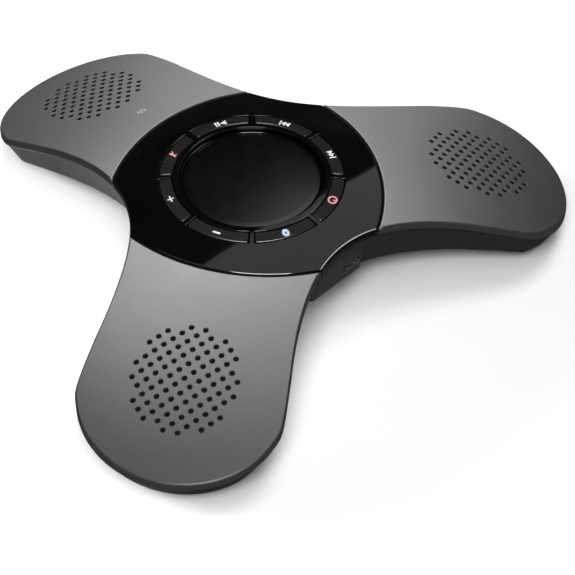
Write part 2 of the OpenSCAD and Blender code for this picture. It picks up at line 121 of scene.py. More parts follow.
def turn(points, degrees):
    """Points turned about the centre line."""
    c, s = math.cos(math.radians(degrees)), math.sin(math.radians(degrees))
    points = np.asarray(points, float)
    return points @ np.array([[c, s], [-s, c]])


def outline_corners():
    """The design's outline: each bay, a hyperbola, and then the arm after it, half an ellipse."""
    along = np.arange(-BAY_HALF_L, BAY_HALF_L + 0.1, BAY_STEP)
    depth = BAY_R + np.sqrt(BAY_SOFT**2 + (BAY_FLARE * along) ** 2) - BAY_SOFT
    angles = np.radians(np.arange(-TIP_LAST, TIP_LAST + 1, TIP_STEP))
    reach = TIP_CENTRE + (ARM_REACH - TIP_CENTRE) * np.cos(angles)
    bay = np.stack([depth, along], 1)
    tip = np.stack([reach, ARM_HALF_W * np.sin(angles)], 1)
    parts = []
    for arm in (RIGHT, LEFT, FRONT):
        parts += [turn(bay, arm - 60), turn(tip, arm)]
    return np.concatenate(parts)


def smooth_closed(points, parts):
    """A Catmull-Rom curve through the points of a closed loop."""
    p0, p1, p2, p3 = (np.roll(points, shift, 0)[:, None] for shift in (1, 0, -1, -2))
    t = (np.arange(parts) / parts)[None, :, None]
    curve = (
        2 * p1
        + (p2 - p0) * t
        + (2 * p0 - 5 * p1 + 4 * p2 - p3) * t**2
        + (3 * p1 - p0 - 3 * p2 + p3) * t**3
    )
    return (curve / 2).reshape(-1, 2)


def even_steps(points, spacing):
    """An open line of points laid again at an even spacing, ends kept."""
    lengths = np.r_[0, np.cumsum(np.linalg.norm(np.diff(points, axis=0), axis=1))]
    at = np.linspace(0, lengths[-1], max(2, round(lengths[-1] / spacing) + 1))
    return np.stack([np.interp(at, lengths, points[:, k]) for k in (0, 1)], 1)


def arc(radius, start, end, spacing, centre=(0, 0)):
    """Points along an arc, ends included, from one angle to another in degrees."""
    count = max(2, round(abs(math.radians(end - start)) * radius / spacing) + 1)
    angles = np.radians(np.linspace(start, end, count))
    return np.stack([centre[0] + radius * np.cos(angles), centre[1] + radius * np.sin(angles)], 1)


def circle(radius, sides, centre=(0, 0)):
    angles = np.arange(sides) * 2 * math.pi / sides
    return np.stack([centre[0] + radius * np.cos(angles), centre[1] + radius * np.sin(angles)], 1)


def inset(loop, distance):
    """A counter-clockwise loop moved inwards by distance: one value, or one for each edge."""
    ahead = np.roll(loop, -1, 0) - loop
    ahead /= np.linalg.norm(ahead, axis=1)[:, None]
    after = np.stack([ahead[:, 1], -ahead[:, 0]], 1)
    before = np.roll(after, 1, 0)
    d_after = np.broadcast_to(np.asarray(distance, float), len(loop))
    d_before = np.roll(d_after, 1)
    middle = before + after
    middle /= np.linalg.norm(middle, axis=1)[:, None]
    smooth = middle * ((d_before + d_after) / 2 / np.einsum("ij,ij->i", middle, after))[:, None]
    turning = before[:, 0] * after[:, 1] - before[:, 1] * after[:, 0]
    corner = np.abs(turning) > 0.3
    safe = np.where(corner, turning, 1.0)
    sharp = np.stack([
        (d_before * after[:, 1] - d_after * before[:, 1]) / safe,
        (d_after * before[:, 0] - d_before * after[:, 0]) / safe,
    ], 1)
    return loop - np.where(corner[:, None], sharp, smooth)


def inside(points, loop):
    """Which points are within a loop."""
    hit = np.zeros(len(points), bool)
    for a, b in zip(loop, np.roll(loop, -1, 0)):
        crosses = (a[1] > points[:, 1]) != (b[1] > points[:, 1])
        with np.errstate(divide="ignore", invalid="ignore"):
            x = a[0] + (points[:, 1] - a[1]) / (b[1] - a[1]) * (b[0] - a[0])
        hit ^= crosses & (points[:, 0] < x)
    return hit


def top_z(points):
    """Height of the domed top surface over points of the plan."""
    r2 = (np.asarray(points) ** 2).sum(-1)
    return DOME_Z + np.sqrt(DOME_R**2 - r2)


OUTLINE = smooth_closed(outline_corners(), 8)


# --- Building meshes ------------------------------------------------------------------------


class Shell:
    """Vertices and faces of one piece, built up ring by ring."""

    def __init__(self):
        self.verts = []
        self.faces = []
        self.domed = set()

    def ring(self, points, z):
        """Adds a ring of vertices and returns their numbers."""
        first = len(self.verts)
        heights = np.broadcast_to(z, len(points))
        self.verts += [(p[0], p[1], h) for p, h in zip(points, heights)]
        return list(range(first, len(self.verts)))

    def bridge(self, upper, lower):
        """Joins two counter-clockwise rings. Faces look outwards when upper is above lower."""
        count = len(upper)
        for k in range(count):
            n = (k + 1) % count
            self.faces.append((upper[k], lower[k], lower[n], upper[n]))

    def stack(self, rings):
        for upper, lower in zip(rings, rings[1:]):
            self.bridge(upper, lower)

    def fill(self, outer, holes, surface, spacing, up=True, domed=False):
        """Fills between an outer ring and hole rings with a mesh that follows surface(points)."""
        rings = [outer] + list(holes)
        edge = [v for ring in rings for v in ring]
        flat = np.array([self.verts[v][:2] for v in edge])
        outer_loop = flat[: len(outer)]
        low, high = outer_loop.min(0), outer_loop.max(0)
        rows = np.arange(low[1], high[1], spacing * 0.866)
        grid = np.array([
            (x + (k % 2) * spacing / 2, y)
            for k, y in enumerate(rows)
            for x in np.arange(low[0], high[0], spacing)
        ])
        grid = grid[inside(grid, outer_loop)]
        clear = np.ones(len(grid), bool)
        start = 0
        for ring in rings:
            loop = flat[start : start + len(ring)]
            step = np.linalg.norm(loop - np.roll(loop, 1, 0), axis=1).max()
            gap = max(min(spacing * 0.7, 3 * step), 0.6 * step)
            nearest = np.full(len(grid), np.inf)
            for point in loop:
                nearest = np.minimum(nearest, np.linalg.norm(grid - point, axis=1))
            clear &= nearest > gap
            if start:
                clear &= ~inside(grid, loop)
            start += len(ring)
        grid = grid[clear]
        first = len(self.verts)
        self.verts += [(p[0], p[1], z) for p, z in zip(grid, surface(grid))]
        numbers = edge + list(range(first, len(self.verts)))
        edges, start = [], 0
        for ring in rings:
            edges += [(start + k, start + (k + 1) % len(ring)) for k in range(len(ring))]
            start += len(ring)
        coords = [Vector(p) for p in np.concatenate([flat, grid])]
        _, _, faces, origin, _, _ = geometry.delaunay_2d_cdt(coords, edges, [], 1, 1e-6)
        spots = np.array([[coords[origin[v][0]] for v in face] for face in faces])
        centres = spots.mean(1)
        keep = np.ones(len(faces), bool)
        start = len(outer)
        for ring in holes:
            keep &= ~inside(centres, flat[start : start + len(ring)])
            start += len(ring)
        for face, kept in zip(faces, keep):
            if kept:
                corners = [numbers[origin[v][0]] for v in face]
                self.faces.append(tuple(corners if up else corners[::-1]))
        if domed:
            self.domed.update(numbers)

    def to_object(self, name, crease=35):
        """The Blender object, in metres, smooth but for edges sharper than crease degrees."""
        mesh = bpy.data.meshes.new(name)
        mesh.from_pydata([(x * MM, y * MM, z * MM) for x, y, z in self.verts], [], self.faces)
        mesh.validate()
        mesh.polygons.foreach_set("use_smooth", [True] * len(mesh.polygons))
        mesh.update()
        mesh.set_sharp_from_angle(angle=math.radians(crease))
        if self.domed:
            centre = Vector((0, 0, DOME_Z * MM))
            normals = [
                (v.co - centre).normalized() if v.index in self.domed else (0, 0, 0)
                for v in mesh.vertices
            ]
            mesh.normals_split_custom_set_from_vertices(normals)
        made = bpy.data.objects.new(name, mesh)
        bpy.context.scene.collection.objects.link(made)
        return made


def rounded(radius, steps=3):
    """(inset, drop) pairs of a rounded top edge, from the flat to the side."""
    angles = np.linspace(0, math.pi / 2, steps + 1)
    return [(radius * (1 - math.sin(a)), radius * (1 - math.cos(a))) for a in angles]


def seam_steps(is_rim, k):
    """How many edges the edge after point k is away from the nearest seam edge, up to three."""
    count = len(is_rim)
    for steps in range(3):
        near = (k - steps, k + 1 + steps)
        if not all(is_rim[n % count] for n in near):
            return steps
    return 3


def domed_plate(name, loop, is_rim, holes, edge_r, hole_edge, spacing):
    """A plate under the dome: a crowned skin with rounded edges and holes, and a skirt along its rim.

    edge_r and hole_edge round the top edges of the plate and of its counter-clockwise holes.
    """
    skirt = np.where(is_rim, RIM_H, SKIN_T)
    from_seam = np.array([seam_steps(is_rim, k) for k in range(len(loop))])
    shell = Shell()
    rings = []
    for pull, drop in rounded(edge_r):
        points = inset(loop, pull)
        rings.append(shell.ring(points, top_z(points) - drop))
    lip = 0.15
    rings.append(shell.ring(loop, top_z(loop) - skirt + lip))
    points = inset(loop, lip)
    rings.append(shell.ring(points, top_z(points) - skirt))
    inner = inset(loop, np.array([0.3, 0.6, 1.2, RIM_T])[from_seam])
    rings.append(shell.ring(inner, top_z(inner) - skirt))
    rings.append(shell.ring(inner, top_z(inner) - SKIN_T))
    shell.stack(rings)
    tops, bottoms = [], []
    for hole in holes:
        ring = [
            shell.ring(inset(hole, -pull), top_z(hole) - drop)
            for pull, drop in rounded(hole_edge, 2)
        ]
        ring.append(shell.ring(hole, top_z(hole) - SKIN_T))
        for upper, lower in zip(ring, ring[1:]):
            shell.bridge(lower, upper)
        tops.append(ring[0])
        bottoms.append(ring[-1])
    shell.fill(rings[0], tops, top_z, spacing, domed=True)
    shell.fill(rings[-1], bottoms, lambda p: top_z(p) - SKIN_T, spacing * 2, up=False)
    return shell.to_object(name)


def lathe(name, profile, sides=160, crease=35):
    """A closed counter-clockwise (radius, height) profile turned about the centre line."""
    shell = Shell()
    rings = []
    for radius, height in profile:
        if radius:
            rings.append(shell.ring(circle(radius, sides), height))
        else:
            shell.verts.append((0, 0, height))
            rings.append([len(shell.verts) - 1] * sides)
    for a, b in zip(rings, rings[1:] + rings[:1]):
        for k in range(sides):
            n = (k + 1) % sides
            face = dict.fromkeys((b[k], a[k], a[n], b[n]))
            if len(face) > 2:
                shell.faces.append(tuple(face))
    return shell.to_object(name, crease)


# --- Places round the ring of keys ----------------------------------------------------------

KEYS = ["power", "next", "previous", "play", "mute", "volume_up", "volume_down", "pairing"]
KEY_MID_R = (KEY_IN_R + KEY_OUT_R) / 2
KEY_HALF_L = math.radians(KEY_STEP / 2) * KEY_MID_R - KEY_GAP / 2
KEY_LOW = 38.0
KEY_CORNER_R = 0.8
KEY_EDGE_R = 0.3
KEY_SHRINK = 0.1


def key_azimuth(name):
    return KEY_FIRST + KEY_STEP * KEYS.index(name)


def round_the_ring(points, azimuth):
    """(clockwise, outward) millimetres from the middle of a key, laid round the ring."""
    points = np.asarray(points, float)
    angle = math.radians(azimuth) - points[:, 0] / KEY_MID_R
    radius = KEY_MID_R + points[:, 1]
    return np.stack([radius * np.cos(angle), radius * np.sin(angle)], 1)


def rounded_box(half_w, half_h, radius, spacing):
    """A counter-clockwise box with round corners."""
    corners = ((1, -1, -90), (1, 1, 0), (-1, 1, 90), (-1, -1, 180))
    loop = []
    for sx, sy, start in corners:
        centre = (sx * (half_w - radius), sy * (half_h - radius))
        loop.append(arc(radius, start, start + 90, radius / 3, centre))
    out = []
    for k, piece in enumerate(loop):
        after = loop[(k + 1) % 4]
        out += [piece, even_steps(np.array([piece[-1], after[0]]), spacing)[1:-1]]
    return np.concatenate(out)


# --- Arm covers and the centre panel --------------------------------------------------------


def seam_distance(points, azimuth, radius):
    """How far points are outside an arm's seam circle."""
    local = turn(points, -azimuth)
    return np.hypot(local[:, 0] - SEAM_CENTRE, local[:, 1]) - radius


def run_where(keep):
    """The outline's points of one unbroken run, plus the exact places where keep crosses zero."""
    value = keep(OUTLINE)
    count = len(OUTLINE)
    start = next(k for k in range(count) if value[k] <= 0 < value[(k + 1) % count])
    points, k = [], start
    while True:
        n = (k + 1) % count
        a, b = value[k], value[n]
        if (a > 0) != (b > 0):
            points.append(OUTLINE[k] + (OUTLINE[n] - OUTLINE[k]) * a / (a - b))
            if a > 0:
                return np.array(points)
        if b > 0:
            points.append(OUTLINE[n])
        k = n


def cover_loop():
    """Counter-clockwise edge of a cover, in the front arm's place."""
    radius = SEAM_R + SEAM_GAP

    def outside(points):
        away = turn(points, -FRONT)[:, 0] - 10
        return np.minimum(seam_distance(points, FRONT, radius), away)

    run = even_steps(run_where(outside), 1.9)
    ends = turn(run[[-1, 0]], -FRONT)
    angles = [math.degrees(math.atan2(y, x - SEAM_CENTRE)) for x, y in ends]
    seam = turn(arc(radius, angles[0], angles[1], 1.9, (SEAM_CENTRE, 0)), FRONT)
    loop = np.concatenate([run, seam[1:-1]])
    return loop, np.arange(len(loop)) < len(run)


def grille_holes():
    """The hole edges of the front grille: a square grid turned by 45 degrees, cut to a round."""
    reach = math.isqrt(GRILLE_LIMIT)
    steps = range(-reach, reach + 1)
    places = [(i, j) for i in steps for j in steps if i * i + j * j <= GRILLE_LIMIT]
    centres = turn(np.array(places, float) * GRILLE_PITCH, 45) + (GRILLE_R, 0)
    return [circle(GRILLE_HOLE_R, 20, centre) for centre in turn(centres, FRONT)]


def arm_cover(name, azimuth):
    loop, is_rim = cover_loop()
    loop = turn(loop, azimuth - FRONT)
    holes = [turn(hole, azimuth - FRONT) for hole in grille_holes()]
    made = domed_plate(name, loop, is_rim, holes, 0.75, 0.2, 2.4)
    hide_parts(f"{name.split('_')[0]}_cover")
    return made


def panel_loop():
    """Counter-clockwise edge of the centre panel: three bays and three seams."""
    parts, is_rim = [], []
    for azimuth in (RIGHT, LEFT, FRONT):
        bay = azimuth - 60

        def within(points, bay=bay):
            near = np.maximum.reduce([seam_distance(points, arm, SEAM_R) for arm in ARMS.values()])
            return np.minimum(-near, turn(points, -bay)[:, 0] - 10)

        run = even_steps(run_where(within), 1.2)
        first = turn(run[-1:], -azimuth)[0]
        angle = math.degrees(math.atan2(-first[1], first[0] - SEAM_CENTRE))
        seam = turn(arc(SEAM_R, -angle, angle, 1.2, (SEAM_CENTRE, 0)), azimuth)
        parts += [run, seam[1:-1]]
        is_rim += [True] * len(run) + [False] * (len(seam) - 2)
    return np.concatenate(parts), np.array(is_rim)


def centre_panel():
    """The gloss panel, open in the middle for the disc, with a window for each key."""
    loop, is_rim = panel_loop()
    half_h = (KEY_OUT_R - KEY_IN_R) / 2 + KEY_CLEARANCE
    window = rounded_box(KEY_HALF_L + WINDOW_CLEARANCE, half_h, 0.5, 0.9)
    holes = [circle(PANEL_IN_R, 200)] + [round_the_ring(window, key_azimuth(name)) for name in KEYS]
    made = domed_plate("centre_panel", loop, is_rim, holes, 0.75, 0.16, 2.2)
    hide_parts("top_panel")
    return made


# --- Bottom housing -------------------------------------------------------------------------

CASE_SCREW = (58.0, 18.0)
COUNTERBORE_R = 2.6
COUNTERBORE_TOP = 20.1
LIP_INSET = 2.1
LIP_T = 1.0
LIP_DROP = SKIN_T + 0.2
EDGE_R = 0.4
BELLY_EDGE_R = 1.6


def wall(loop, z, extra=0.0):
    """The housing's wall at height z, extra millimetres further in.

    It leans in with depth, and stands proud as a flat facet round the socket.
    """
    lean = BAY_LEAN + LEAN_GROWTH * (np.linalg.norm(loop, axis=1) - BAY_R)
    points = inset(loop, WALL_INSET + extra + lean * (top_z(loop) - RIM_H - RIM_GAP - z))
    local = turn(points, -PORT_BAY)
    beside = np.maximum(0, np.abs(local[:, 1]) - FACET_HALF_W)
    under = np.maximum(0, FACET_LOW - z)
    facet = FACET_X - extra - 1.2 * beside - 1.6 * under
    near = (local[:, 0] > 20) & (np.abs(local[:, 1]) < 2 * FACET_HALF_W)
    blend = 0.35
    proud = (local[:, 0] + facet + np.sqrt((local[:, 0] - facet) ** 2 + blend**2)) / 2 - blend / 2
    local[:, 0] = np.where(near, np.maximum(local[:, 0], proud), local[:, 0])
    return turn(local, PORT_BAY)


def underside(points):
    """A very shallow dome."""
    return BELLY_H - UNDERSIDE_R + np.sqrt(UNDERSIDE_R**2 - np.sum(np.asarray(points) ** 2, axis=-1))


def housing_shell():
    loop = even_steps(np.concatenate([OUTLINE, OUTLINE[:1]]), 1.5)[:-1]
    top = top_z(loop)
    low = underside(wall(loop, BELLY_H))
    floor = low + FLOOR_T
    shelf = top - RIM_H - RIM_GAP
    start, end = shelf - EDGE_R, low + BELLY_EDGE_R
    corner = np.clip(FACET_LOW, 0.9 * end + 0.1 * start, 0.1 * end + 0.9 * start)
    shell = Shell()
    rings = [
        shell.ring(wall(loop, floor, WALL_T), floor),
        shell.ring(wall(loop, corner, WALL_T), corner),
        shell.ring(wall(loop, shelf, WALL_T), shelf),
        shell.ring(inset(loop, LIP_INSET + LIP_T), top - LIP_DROP),
        shell.ring(inset(loop, LIP_INSET), top - LIP_DROP),
        shell.ring(inset(loop, LIP_INSET), shelf),
    ]
    for pull, drop in rounded(EDGE_R):
        rings.append(shell.ring(wall(loop, shelf - drop, pull), shelf - drop))
    levels = 7
    for upper, lower in ((start, corner), (corner, end)):
        for k in range(1, levels + 1):
            z = upper + (lower - upper) * k / levels
            rings.append(shell.ring(wall(loop, z), z))
    for pull, drop in reversed(rounded(BELLY_EDGE_R, 5)[:-1]):
        z = low + drop
        rings.append(shell.ring(wall(loop, z, pull), z))
    shell.stack(rings)
    bores = []
    for azimuth in ARMS.values():
        for side in (-1, 1):
            mouth = circle(COUNTERBORE_R, 32, turn([(CASE_SCREW[0], side * CASE_SCREW[1])], azimuth)[0])
            rim = shell.ring(inset(mouth, -0.25), underside(mouth))
            edge = shell.ring(mouth, underside(mouth) + 0.25)
            end = shell.ring(mouth, COUNTERBORE_TOP)
            shell.stack([end, edge, rim])
            shell.fill(end, [], lambda p: np.full(len(p), COUNTERBORE_TOP), 2, up=False)
            bores.append(rim)
    shell.fill(rings[0], [], lambda p: underside(p) + FLOOR_T, 5)
    shell.fill(rings[-1], bores, underside, 3, up=False)
    return shell.to_object("lower_housing")


def slot_loop(width, height, steps=12):
    """A slot shape with round ends, as (sideways, up)."""
    r = height / 2
    right = arc(r, -90, 90, 2 * r * math.pi / 2 / steps, (width / 2 - r, 0))
    left = arc(r, 90, 270, 2 * r * math.pi / 2 / steps, (r - width / 2, 0))
    return np.concatenate([right, left])


def cut_socket_mouth(housing):
    """Cuts the socket's slot through the facet, with a chamfered mouth."""
    width, height = 9.3, 3.5
    shell = Shell()
    rings = []
    for x, grow in ((36.0, 0.0), (FACET_X - 0.4, 0.0), (FACET_X + 0.3, 0.7)):
        profile = slot_loop(width + 2 * grow, height + 2 * grow)
        first = len(shell.verts)
        plan = turn(np.stack([np.full(len(profile), x), SOCKET_W + profile[:, 0]], 1), PORT_BAY)
        shell.verts += [(p[0], p[1], SOCKET_H + q[1]) for p, q in zip(plan, profile)]
        rings.append(list(range(first, len(shell.verts))))
    for back, front in zip(rings, rings[1:]):
        shell.bridge(front, back)
    shell.faces.append(tuple(rings[0][::-1]))
    shell.faces.append(tuple(rings[-1]))
    cutter = shell.to_object("socket_cutter")
    cut = housing.modifiers.new("socket", "BOOLEAN")
    cut.object = cutter
    cut.solver = "EXACT"
    applied = housing.evaluated_get(bpy.context.evaluated_depsgraph_get())
    housing.data = bpy.data.meshes.new_from_object(applied)
    housing.modifiers.clear()
    bpy.data.objects.remove(cutter)
    housing.data.set_sharp_from_angle(angle=math.radians(35))


def pedestal(name, azimuth):
    """The hollow-ended pedestal that holds a rubber foot."""
    centre = turn([(FOOT_R, 0)], azimuth)[0]
    shell = Shell()
    rings = []
    profile = [
        (9.1, 2.4), (9.1, 1.35), (9.25, PEDESTAL_Z), (9.6, PEDESTAL_Z), (9.88, 1.32), (PEDESTAL_R, 1.6),
    ]
    for radius, z in profile:
        rings.append(shell.ring(circle(radius, 72, centre), z))
    ring = circle(PEDESTAL_R, 72, centre)
    rings.append(shell.ring(ring, underside(ring) + 0.6))
    shell.stack(rings[::-1])
    shell.fill(rings[0], [], lambda p: np.full(len(p), 2.4), 3, up=False)
    shell.fill(rings[-1], [], lambda p: underside(p) + 0.6, 3)
    return shell.to_object(name)


def lower_housing():
    housing = housing_shell()
    cut_socket_mouth(housing)
    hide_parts("bottom_housing")
    return [housing] + [pedestal(f"{name}_pedestal", azimuth) for name, azimuth in ARMS.items()]


# --- Disc, channel ring and keys ------------------------------------------------------------


def gloss_disc():
    """The touch disc: very slightly crowned, with a rounded edge."""
    low = DISC_Z - 1.6
    edge = 0.35
    crown = [(r, DISC_Z - r * r / 2 / DISC_CROWN_R) for r in np.linspace(DISC_R - edge, 0, 12)]
    profile = [(0, low), (DISC_R - 0.3, low), (DISC_R, low + 0.3)]
    profile += [(DISC_R - pull, crown[0][1] - drop) for pull, drop in reversed(rounded(edge, 4)[1:])]
    profile += crown
    made = lathe("gloss_disc", profile, 200)
    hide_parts("centre_disc")
    return made


def channel_ring():
    """The bottom of the channel round the disc, on a skirt."""
    inner, outer, top, ease = DISC_R + 0.2, PANEL_IN_R - 0.2, 40.9, 0.12
    seat_in, seat_out, seat_low = 22.4, 27.6, 34.1
    profile = [
        (seat_in, seat_low), (seat_out, seat_low), (seat_out, 37.5), (outer, 37.5),
        (outer, top - ease), (outer - ease, top), (inner + ease, top), (inner, top - ease),
        (inner, 37.9), (seat_in, 37.9),
    ]
    made = lathe("channel_ring", profile, 200)
    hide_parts("centre_ring")
    return made


def keycap(name):
    azimuth = key_azimuth(name)
    box = rounded_box(KEY_HALF_L, (KEY_OUT_R - KEY_IN_R) / 2, KEY_CORNER_R, 0.9)
    loop = inset(round_the_ring(box, azimuth), KEY_SHRINK)
    shell = Shell()
    rings = []
    for pull, drop in rounded(KEY_EDGE_R):
        points = inset(loop, pull)
        rings.append(shell.ring(points, top_z(points) - drop))
    rings.append(shell.ring(loop, KEY_LOW + 0.2))
    rings.append(shell.ring(inset(loop, 0.2), KEY_LOW))
    shell.stack(rings)
    shell.fill(rings[0], [], top_z, 1.1, domed=True)
    shell.fill(rings[-1], [], lambda p: np.full(len(p), KEY_LOW), 2, up=False)
    made = shell.to_object(f"keycap_{name}")
    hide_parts(f"key_{name}")
    return made


# --- Legends --------------------------------------------------------------------------------


def bar(x, y, width, height, lean=0.0, radius=0.12):
    """A rounded bar about (x, y), turned by lean degrees."""
    corner = min(radius, width / 2.2, height / 2.2)
    return turn(rounded_box(width / 2, height / 2, corner, 0.4), lean) + (x, y)


def triangle(x, y, width, height):
    """An arrowhead about (x, y). It points to +x for a positive width and to -x for a negative one."""
    corners = np.array([(-width / 2, -height / 2), (width / 2, 0), (-width / 2, height / 2)])
    if width < 0:
        corners = corners[::-1]
    return corners + (x, y)


def oval(x, y, width, height, sides=40):
    return circle(0.5, sides) * (width, height) + (x, y)


# Each legend is a list of (outer loop, hole loops), in millimetres on its key: x clockwise, y outwards
LEGENDS = {
    "power": [(oval(0.3, 0.2, 3.9, 3.5), [oval(0.3, 0.2, 2.7, 2.3)]), (bar(0.3, 0.75, 0.5, 0.9), [])],
    "next": [
        (triangle(-0.85, 0.1, 1.7, 2.5), []),
        (triangle(0.75, 0.1, 1.7, 2.5), []),
        (bar(1.95, 0.1, 0.55, 2.5), []),
    ],
    "previous": [
        (bar(-1.45, 0.0, 0.55, 2.6), []),
        (triangle(-0.25, 0.0, -1.7, 2.6), []),
        (triangle(1.35, 0.0, -1.7, 2.6), []),
    ],
    "play": [
        (bar(-1.55, -0.05, 0.62, 2.7), []),
        (bar(-0.5, -0.05, 0.62, 2.7), []),
        (triangle(1.3, -0.05, -2.4, 2.7), []),
    ],
    "mute": [
        (bar(0.0, 0.45, 1.0, 1.9, -12, 0.45), []),
        (bar(-0.1, -1.15, 1.5, 0.35), []),
        (bar(0.15, -0.1, 0.35, 3.6, -48), []),
    ],
    "volume_up": [
        (bar(0.4, 0.0, 3.0, 0.5), []),
        (bar(0.4, 0.75, 0.5, 0.9), []),
        (bar(0.4, -0.75, 0.5, 0.9), []),
    ],
    "volume_down": [(bar(0.45, 0.05, 2.9, 0.72), [])],
    "pairing": [(oval(0.0, 0.1, 2.6, 3.3), [oval(0.0, 0.1, 0.6, 1.3)])],
}


def decal(name, shapes, place):
    """Thin printed shapes that lie on the dome. place() puts their points on the plan."""
    raised, sunk = 0.03, 0.06
    shell = Shell()
    for outer, holes in shapes:
        loops = [place(outer)] + [place(hole) for hole in holes]
        tops, bottoms = [], []
        for k, loop in enumerate(loops):
            area = np.cross(loop, np.roll(loop, -1, 0)).sum()
            loop = loop if (area > 0) else loop[::-1]
            tops.append(shell.ring(loop, top_z(loop) + raised))
            bottoms.append(shell.ring(loop, top_z(loop) - sunk))
            if k:
                shell.bridge(bottoms[-1], tops[-1])
            else:
                shell.bridge(tops[-1], bottoms[-1])
        shell.fill(tops[0], tops[1:], lambda p: top_z(p) + raised, 0.5, domed=True)
        shell.fill(bottoms[0], bottoms[1:], lambda p: top_z(p) - sunk, 0.5, up=False)
    return shell.to_object(name)


def key_legend(name):
    azimuth = key_azimuth(name)
    return decal(f"legend_{name}", LEGENDS[name], lambda points: round_the_ring(points, azimuth))


# Three plain slanted strokes, printed on the left arm
MARK_R = 59.0
MARK_STROKES = [(-1.3, 0.25, 2.0), (0.0, 0.0, 2.8), (1.3, -0.25, 2.0)]


def arm_mark():
    shapes = [(bar(x, y, 0.9, height, -24), []) for x, y, height in MARK_STROKES]
    return decal("arm_mark", shapes, lambda points: turn(points, LEFT - 90) + turn([(MARK_R, 0)], LEFT))


# --- Finishes, one for each of the record's material slots ----------------------------------


class Finish:
    """A node material round one Principled shader, textured by object coordinates in metres."""

    def __init__(self, name, colour, roughness, **inputs):
        self.material = bpy.data.materials.new(name)
        self.material.use_nodes = True
        self.nodes = self.material.node_tree.nodes
        self.links = self.material.node_tree.links
        self.shader = self.nodes["Principled BSDF"]
        self.place = self.nodes.new("ShaderNodeTexCoord").outputs["Object"]
        self.shader.inputs["Base Color"].default_value = (*colour, 1)
        self.shader.inputs["Roughness"].default_value = roughness
        for key, value in inputs.items():
            self.shader.inputs[key.replace("_", " ").title()].default_value = value

    def new(self, kind, **inputs):
        """A new node, with its inputs linked to sockets or set to values."""
        node = self.nodes.new(kind)
        for key, value in inputs.items():
            target = node.inputs[key]
            if isinstance(value, bpy.types.NodeSocket):
                self.links.new(value, target)
            else:
                target.default_value = value
        return node

    def noise(self, size, detail=2.0):
        """Cloudy noise whose blots are about size millimetres across."""
        node = self.new("ShaderNodeTexNoise", Vector=self.place, Scale=1 / (size * MM), Detail=detail)
        return node.outputs["Fac"]

    def cells(self, size):
        """Rounded grains about size millimetres across."""
        node = self.new("ShaderNodeTexVoronoi", Vector=self.place, Scale=1 / (size * MM))
        return node.outputs["Distance"]

    def waves(self, pitch, direction):
        """Parallel threads, pitch millimetres apart along X, Y or Z."""
        node = self.new("ShaderNodeTexWave", Vector=self.place, Scale=2 * math.pi / (20 * pitch * MM))
        node.bands_direction = direction
        return node.outputs["Fac"]

    def maths(self, operation, a, b):
        node = self.nodes.new("ShaderNodeMath")
        node.operation = operation
        for target, value in zip(node.inputs, (a, b)):
            if isinstance(value, bpy.types.NodeSocket):
                self.links.new(value, target)
            else:
                target.default_value = value
        return node.outputs[0]

    def between(self, value, low, high, start=0.3, end=0.7):
        """Stretches a texture's start to end over low to high."""
        inputs = {"Value": value, "From Min": start, "From Max": end, "To Min": low, "To Max": high}
        return self.new("ShaderNodeMapRange", **inputs).outputs["Result"]

    def colour(self, value, dark, light):
        """Colour that goes from dark to light as value goes from 0 to 1."""
        node = self.nodes.new("ShaderNodeMix")
        node.data_type = "RGBA"
        self.links.new(value, node.inputs["Factor"])
        node.inputs[6].default_value = (*dark, 1)
        node.inputs[7].default_value = (*light, 1)
        self.links.new(node.outputs[2], self.shader.inputs["Base Color"])

    def roughness(self, value):
        self.links.new(value, self.shader.inputs["Roughness"])

    def bump(self, height, depth, strength=1.0):
        """Surface relief that is depth millimetres deep."""
        node = self.new("ShaderNodeBump", Height=height, Distance=depth * MM, Strength=strength)
        self.links.new(node.outputs["Normal"], self.shader.inputs["Normal"])


def grey(level, blue=0.0):
    return (level, level, level * (1 + blue))


def cover_metallic():
    """Grey metallic paint: fine flakes in a satin coat over a faintly grained moulding."""
    f = Finish("cover_metallic", grey(0.39), 0.43, metallic=0.95)
    flakes = f.noise(0.22, 1)
    f.colour(f.between(flakes, 0, 1), grey(0.35, 0.01), grey(0.45, 0.01))
    f.roughness(f.between(f.noise(9), 0.42, 0.45))
    f.bump(f.noise(0.45), 0.006)
    return f


def panel_gloss(name="panel_gloss", roughness=0.05):
    """Polished black plastic, with the slight ripple that a moulding has."""
    f = Finish(name, grey(0.0015), roughness)
    f.colour(f.between(f.noise(30), 0, 1), grey(0.001), grey(0.002, 0.1))
    f.roughness(f.between(f.noise(6), 0.9 * roughness, 1.1 * roughness))
    f.bump(f.noise(7, 1), 0.002)
    return f


def housing_satin():
    """Black plastic with a fine spark-eroded grain."""
    f = Finish("housing_satin", grey(0.02), 0.5)
    f.colour(f.between(f.noise(0.5, 3), 0, 1), grey(0.015), grey(0.024, 0.03))
    f.roughness(f.between(f.noise(4), 0.46, 0.56))
    f.bump(f.cells(0.45), 0.02, 0.7)
    return f


def key_satin():
    """Charcoal plastic, a little lighter and smoother than the housing."""
    f = Finish("key_satin", grey(0.006), 0.23)
    f.colour(f.between(f.noise(0.4, 3), 0, 1), grey(0.005), grey(0.007, 0.03))
    f.roughness(f.between(f.noise(2.5), 0.21, 0.25))
    f.bump(f.cells(0.3), 0.012, 0.7)
    return f


def dark_plastic():
    f = Finish("dark_plastic", grey(0.03), 0.55)
    f.colour(f.between(f.noise(3), 0, 1), grey(0.024), grey(0.036))
    f.bump(f.noise(0.3, 3), 0.02)
    return f


def plated_steel():
    """Bright nickel plate with fine drawing marks and dulled patches."""
    f = Finish("plated_steel", grey(0.6), 0.25, metallic=1.0)
    f.colour(f.between(f.noise(2.5), 0, 1), grey(0.5), grey(0.66, 0.02))
    f.roughness(f.between(f.noise(1.2, 4), 0.18, 0.34))
    f.bump(f.noise(0.15, 2), 0.004)
    return f


